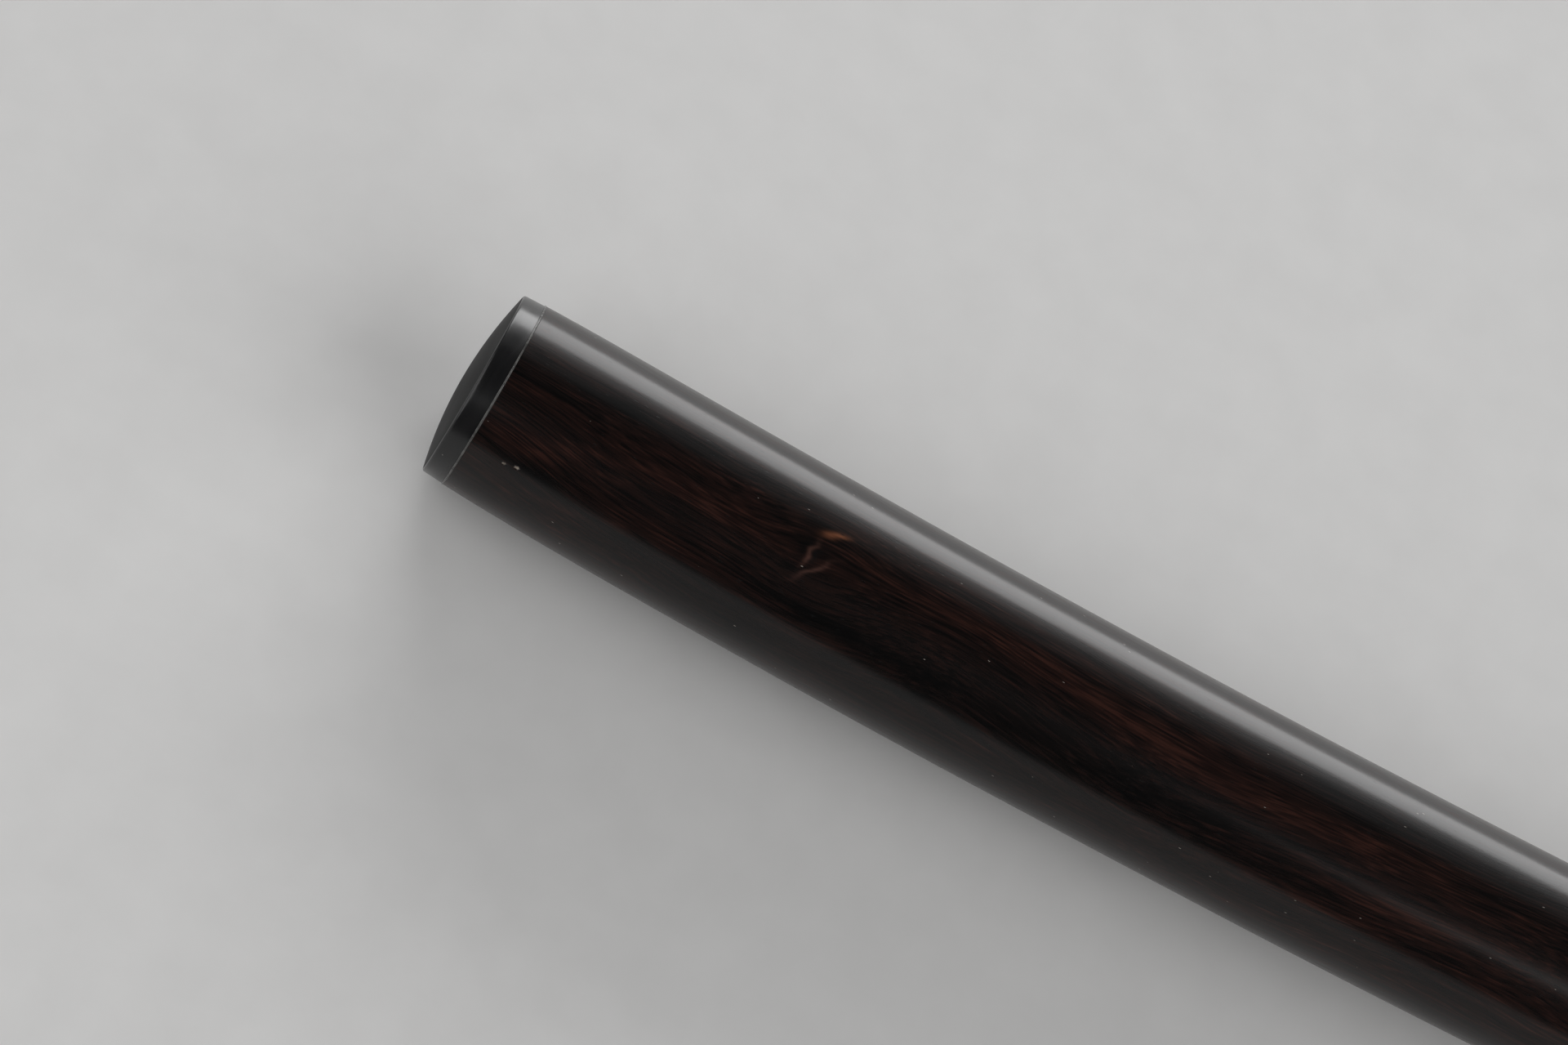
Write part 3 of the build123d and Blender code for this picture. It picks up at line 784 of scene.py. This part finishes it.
class Strands:
    """Hairs laid along the tuft. Each has its own place round it, depth, wander, length and tone."""

    def __init__(self, count, seed, start, ends, depth, thickness, outline, lift_share):
        random = np.random.default_rng(seed)
        golden = pi * (3 - sqrt(5))
        self.angle = np.arange(count) * golden + random.uniform(-STRAND_JITTER, STRAND_JITTER, count)
        self.depth = random.uniform(*depth, count)
        self.start = start
        self.end = random.uniform(0, 1, count) ** 0.7 * (ends[1] - ends[0]) + ends[0]
        self.sway = random.normal(0, STRAND_SWAY, count)
        self.wave = random.uniform(*STRAND_WAVES, count)
        self.phase = random.uniform(0, 2 * pi, count)
        self.thickness = thickness * random.uniform(*STRAND_THICKNESS_SPREAD, count)
        self.tone = random.uniform(0, 1, count) ** 1.6
        lifted = random.uniform(0, 1, count) < lift_share
        self.lift = np.where(lifted, random.uniform(*STRAND_LIFTS, count), 0.0)
        self.outline = outline

    def mesh_parts(self, low, high, spacing):
        """Points, faces and values of the tapered tubes between two distances from the mouth."""
        points, faces, along_values, tone_values = [], [], [], []
        corner_angles = np.arange(STRAND_SIDES) * 2 * pi / STRAND_SIDES
        total = 0
        for index in range(len(self.angle)):
            start, end = max(low, self.start), min(high, self.end[index])
            if end - start < STRAND_SHORTEST:
                continue
            count = max(2, round((end - start) / spacing)) + 1
            along = np.linspace(start, end, count)
            outline = self.outline(along)
            to_end = self.end[index] - along
            left = np.clip(to_end / STRAND_TAPER, 0, 1)
            thick = self.thickness[index] * (STRAND_TIP + (1 - STRAND_TIP) * left**0.8)
            thick = np.minimum(thick, outline * 0.5)
            depth = self.depth[index] + STRAND_COVER + strand_flutes(self.angle[index])
            depth = depth * np.clip(outline / CLOSING_RADIUS, 0.05, 1)
            rise = self.lift[index] * np.clip(1 - to_end / STRAND_LIFT_LENGTH, 0, 1) ** 2
            radius = np.maximum(outline - depth - thick * 0.7 + rise - thread_waist(along), 0.0)
            bend = np.sin(2 * pi * along / self.wave[index] + self.phase[index])
            angle = self.angle[index] + self.sway[index] * bend / np.maximum(outline, 2 * MM)
            around = thick[:, None] * np.sin(corner_angles) / np.maximum(radius, 0.25 * MM)[:, None]
            reach = radius[:, None] + thick[:, None] * np.cos(corner_angles)
            reach = np.maximum(reach, STRAND_LEAST_REACH)
            points.append(on_brush(mouth + along[:, None], reach, angle[:, None] + around).reshape(-1, 3))
            along_values.append(np.repeat(np.clip(along / self.end[index], 0, 1), STRAND_SIDES))
            tone_values.append(np.full(count * STRAND_SIDES, self.tone[index]))
            for ring in range(count - 1):
                for side in range(STRAND_SIDES):
                    after = (side + 1) % STRAND_SIDES
                    here, there = total + ring * STRAND_SIDES, total + (ring + 1) * STRAND_SIDES
                    faces.append((here + side, here + after, there + after, there + side))
            faces.append(tuple(total + side for side in reversed(range(STRAND_SIDES))))
            last = total + (count - 1) * STRAND_SIDES
            faces.append(tuple(last + side for side in range(STRAND_SIDES)))
            total += count * STRAND_SIDES
        return points, faces, along_values, tone_values


def bundle_parts(low, high, outer, inner, end, spacing, first):
    """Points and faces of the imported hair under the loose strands, finely ridged, between two
    distances from the mouth. inner is None for a solid bundle."""
    stop = min(high, end)
    count = max(2, round((stop - low) / spacing)) + 1
    along = np.linspace(low, stop, count)
    angle = np.arange(RIDGE_COLUMNS) * 2 * pi / RIDGE_COLUMNS
    ridge = 0.035 * MM * np.sin(RIDGES * angle + 0.4)
    ridge += 0.025 * MM * np.sin(CROSS_RIDGES * angle + 2)
    shells = []
    for outline, proud in ((outer, ridge), (inner, ridge * 0)):
        if outline is None:
            continue
        radius = np.asarray(outline(along)) - thread_waist(along) * (outline is outer)
        fade = np.clip(radius / CLOSING_RADIUS, 0, 1)[:, None]
        shells.append(on_brush(mouth + along[:, None], radius[:, None] + proud * fade, angle[None, :]))
    faces, columns = [], RIDGE_COLUMNS
    size = count * columns
    for shell in range(len(shells)):
        for ring in range(count - 1):
            for column in range(columns):
                after = (column + 1) % columns
                here = first + shell * size + ring * columns
                corners = (here + column, here + after, here + columns + after, here + columns + column)
                faces.append(corners if shell == 0 else corners[::-1])
    for edge, row in enumerate((0, (count - 1) * columns)):
        outside = [first + row + column for column in range(columns)]
        if len(shells) == 1:
            faces.append(tuple(outside[::-1] if edge == 0 else outside))
            continue
        within = [vertex + size for vertex in outside]
        for column in range(columns):
            after = (column + 1) % columns
            corners = (outside[column], outside[after], within[after], within[column])
            faces.append(corners[::-1] if edge == 0 else corners)
    points = np.concatenate([shell.reshape(-1, 3) for shell in shells])
    along_value = np.tile(np.repeat(np.clip(along / end, 0, 1), columns), len(shells))
    # the tone is highest, so darkest, in the troughs between the ridges: painted shade
    tone = np.tile(np.tile(0.55 + 0.4 * np.sin(RIDGES * angle + 3.5), count), len(shells))
    return points, faces, along_value, tone


def build_hair(kind, strands, outer, inner, end, material, replaced):
    for (low, high, behind, ahead, window), name in zip(SECTIONS, SECTION_NAMES):
        points, faces, along_values, tone_values = strands.mesh_parts(low, high, STRAND_SPACING)
        if low < end:
            first = sum(len(block) for block in points)
            parts = bundle_parts(low, high, outer, inner, end, BUNDLE_SPACING, first)
            points.append(parts[0])
            faces += parts[1]
            along_values.append(parts[2])
            tone_values.append(parts[3])
        values = {"hair_along": np.concatenate(along_values), "hair_tone_and_groove_shade": np.concatenate(tone_values)}
        points = np.concatenate(points)
        piece = make_piece(f"{kind}_{name}", points, faces, values, material, cut_along=FORWARD)
        start, stop = (on_brush(mouth + reach, 0.0, 0.0) for reach in window)
        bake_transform(piece)
        if name in replaced:
            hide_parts(*replaced[name])


def build_tuft():
    goat = hair(
        "goat_hair", root_colour=(0.86, 0.79, 0.67), tip_colour=(0.90, 0.85, 0.76),
        dark_colour=(0.66, 0.56, 0.42), roughness=0.42,
    )
    weasel = hair(
        "weasel_hair", root_colour=(0.46, 0.25, 0.10), tip_colour=(0.13, 0.055, 0.022),
        dark_colour=(0.17, 0.075, 0.028), roughness=0.36,
    )

    def core_outline(along):
        return np.maximum(core_radius(along), 0.05 * MM)

    coat_strands = Strands(
        count=760, seed=11, start=-4 * MM, ends=(28.5 * MM, 38.5 * MM), depth=(0.0, 0.2 * MM),
        thickness=0.12 * MM, outline=tuft_radius, lift_share=0.05,
    )
    core_strands = Strands(
        count=520, seed=23, start=25 * MM, ends=(42 * MM, 51.9 * MM), depth=(0.0, 0.14 * MM),
        thickness=0.1 * MM, outline=core_outline, lift_share=0.03,
    )

    def coat_outside(along):
        return tuft_radius(along) - 0.2 * MM

    def core_outside(along):
        return np.maximum(core_radius(along) - 0.12 * MM, 0.03 * MM)

    build_hair(
        "goat_coat", coat_strands, coat_outside, core_radius, COAT_END - 2 * MM, goat,
        {"root": ["coat_root"], "belly": ["coat_base", "coat_belly"], "shoulder": ["coat_shoulder"]},
    )
    build_hair(
        "weasel_core", core_strands, core_outside, None, TUFT_LENGTH - 1 * MM, weasel,
        {
            "root": ["core_root"],
            "belly": ["core_base"],
            "shoulder": ["core_belly"],
            "point": ["core_shoulder", "core_point"],
        },
    )


# ---- inner pieces that keep their CAD shape -----------------------------------------------------

def resin():
    graph = Graph("burnt_resin", 0.25, IOR=1.54, Coat_Weight=0.4, Coat_Roughness=0.1)
    place = graph.node("ShaderNodeTexCoord").outputs["Object"]
    swirl = graph.noise(place, (0.002, 0.002, 0.002), detail=4.0, distortion=1.0)
    graph.set("Base Color", graph.ramp(swirl, (0.3, (0.10, 0.035, 0.01)), (0.7, (0.36, 0.17, 0.05))))
    graph.set("Normal", graph.bump(swirl, 0.03 * MM))
    graph.set("Roughness", graph.ramp(swirl, (0.3, 0.18), (0.7, 0.4)))
    return graph.material


def silk():
    graph = Graph("silk_thread", 0.4, Sheen_Weight=0.4, Sheen_Roughness=0.3)
    place = graph.node("ShaderNodeTexCoord").outputs["Object"]
    ply = graph.noise(place, (0.0001, 0.0004, 0.0004), detail=2.0)
    graph.set("Base Color", graph.ramp(ply, (0.3, (0.60, 0.54, 0.42)), (0.7, (0.86, 0.81, 0.69))))
    graph.set("Normal", graph.bump(ply, 0.02 * MM))
    graph.set("Roughness", graph.ramp(ply, (0.3, 0.35), (0.7, 0.5)))
    return graph.material


def ramie():
    graph = Graph("ramie_fibre", 0.7, Sheen_Weight=0.2, Sheen_Roughness=0.5)
    place = graph.node("ShaderNodeTexCoord").outputs["Object"]
    fibres = graph.noise(place, (0.0002, 0.003, 0.003), detail=3.0, distortion=0.4)
    graph.set("Base Color", graph.ramp(fibres, (0.3, (0.46, 0.40, 0.28)), (0.7, (0.76, 0.70, 0.56))))
    graph.set("Normal", graph.bump(fibres, 0.04 * MM))
    graph.set("Roughness", graph.ramp(fibres, (0.3, 0.6), (0.7, 0.85)))
    return graph.material


def finish_inner_pieces(glue):
    finishes = {
        "ferrule_joint_glue": glue,
        "tuft_bed_glue": glue,
        "root_resin": resin(),
        "root_thread": silk(),
        "core_lining": ramie(),
    }
    for name, material in finishes.items():
        mesh = frame["nodes"][name].data
        mesh.materials.clear()
        mesh.materials.append(material)


# ---- stage: floor, light, camera ----------------------------------------------------------------

FLOOR_HALF = 12.0
LIGHT_DISTANCE = 3.2
FILL_GREY = 0.035
SOFTBOXES = (  # name, azimuth, lowest and highest elevation in degrees, width, power per square metre
    ("back_panel", 0, 1, 28, 3.2, 17),
    ("back_upper_panel", 0, 29, 42, 3.2, 2.6),
    ("back_top_panel", 0, 43, 62, 3.2, 0.7),
    ("left_panel", -112, 6, 60, 4.0, 4.0),
    ("right_panel", 112, 6, 60, 4.0, 4.0),
)

# the camera looks at a place a little way in from the tail's rim, and leans towards the tail
CAMERA_DISTANCE = 0.45
CAMERA_LENS = 174.0
CAMERA_LEAN = radians(5.6)
CAMERA_ROLL = radians(28.75)
LOOK_IN = 20.2 * MM
LOOK_UP = 1.6 * MM
SEEN_LENGTH = 65.5 * MM


def build_floor():
    corners = [(-FLOOR_HALF, -FLOOR_HALF, 0), (FLOOR_HALF, -FLOOR_HALF, 0)]
    corners += [(FLOOR_HALF, FLOOR_HALF, 0), (-FLOOR_HALF, FLOOR_HALF, 0)]
    graph = Graph("pale_floor", 0.6)
    place = graph.node("ShaderNodeTexCoord").outputs["Object"]
    grain = graph.noise(place, (0.004, 0.004, 0.004), detail=3.0)
    graph.set("Base Color", graph.ramp(grain, (0.3, (0.79, 0.785, 0.775)), (0.7, (0.82, 0.815, 0.805))))
    mesh = bpy.data.meshes.new("floor")
    mesh.from_pydata(corners, [], [(0, 1, 2, 3)])
    mesh.materials.append(graph.material)
    floor = bpy.data.objects.new("floor", mesh)
    bpy.context.scene.collection.objects.link(floor)


def add_softbox(name, azimuth, low, high, width, power):
    """A soft panel round the brush's tail, from one elevation to another. Azimuth 0 is the +Y side."""
    low_end = Vector((0, cos(low), sin(low))) * LIGHT_DISTANCE
    high_end = Vector((0, cos(high), sin(high))) * LIGHT_DISTANCE
    light = bpy.data.lights.new(name, "AREA")
    light.shape = "RECTANGLE"
    light.size = width
    light.size_y = (high_end - low_end).length
    light.energy = power * light.size * light.size_y
    panel = bpy.data.objects.new(name, light)
    turn = Matrix.Rotation(-azimuth, 3, "Z")
    centre = turn @ ((low_end + high_end) / 2)
    panel.location = centre + Vector((tail_face.x, 0, 0))
    panel.rotation_mode = "QUATERNION"
    panel.rotation_quaternion = centre.to_track_quat("Z", "Y")
    panel.visible_camera = False
    bpy.context.scene.collection.objects.link(panel)


def build_light():
    for name, azimuth, low, high, width, power in SOFTBOXES:
        add_softbox(name, radians(azimuth), radians(low), radians(high), width, power)
    world = bpy.data.worlds.new("studio")
    world.use_nodes = True
    background = world.node_tree.nodes["Background"]
    background.inputs["Color"].default_value = (FILL_GREY, FILL_GREY, FILL_GREY * 1.05, 1)
    bpy.context.scene.world = world
    bpy.context.scene.view_settings.view_transform = "Standard"


def build_camera():
    rim = Vector(on_brush(-CAP_WALL, 0.0, 0.0))
    chord = (Vector(on_brush(SEEN_LENGTH, 0.0, 0.0)) - rim).normalized()
    square_on = (view_side - chord * view_side.dot(chord)).normalized()
    back = square_on * cos(CAMERA_LEAN) - chord * sin(CAMERA_LEAN)
    level = (chord - back * chord.dot(back)).normalized()
    upper = back.cross(level)
    right = level * cos(CAMERA_ROLL) + upper * sin(CAMERA_ROLL)
    up = upper * cos(CAMERA_ROLL) - level * sin(CAMERA_ROLL)
    data = bpy.data.cameras.new("camera")
    data.lens = CAMERA_LENS
    data.clip_start = 0.01
    data.clip_end = 100
    camera = bpy.data.objects.new("camera", data)
    target = rim + chord * LOOK_IN + upper * LOOK_UP
    place = target + back * CAMERA_DISTANCE
    rows = [(right[i], up[i], back[i], place[i]) for i in range(3)] + [(0, 0, 0, 1)]
    camera.matrix_world = Matrix(rows)
    bpy.context.scene.collection.objects.link(camera)
    bpy.context.scene.camera = camera


# ---- the brush ----------------------------------------------------------------------------------

black_horn = horn("buffalo_horn")
glue_line = clear_glue()
build_shaft(rosewood())
build_cap(black_horn, glue_line)
build_ferrule(black_horn)
build_tuft()
finish_inner_pieces(glue_line)
build_floor()
build_light()
build_camera()
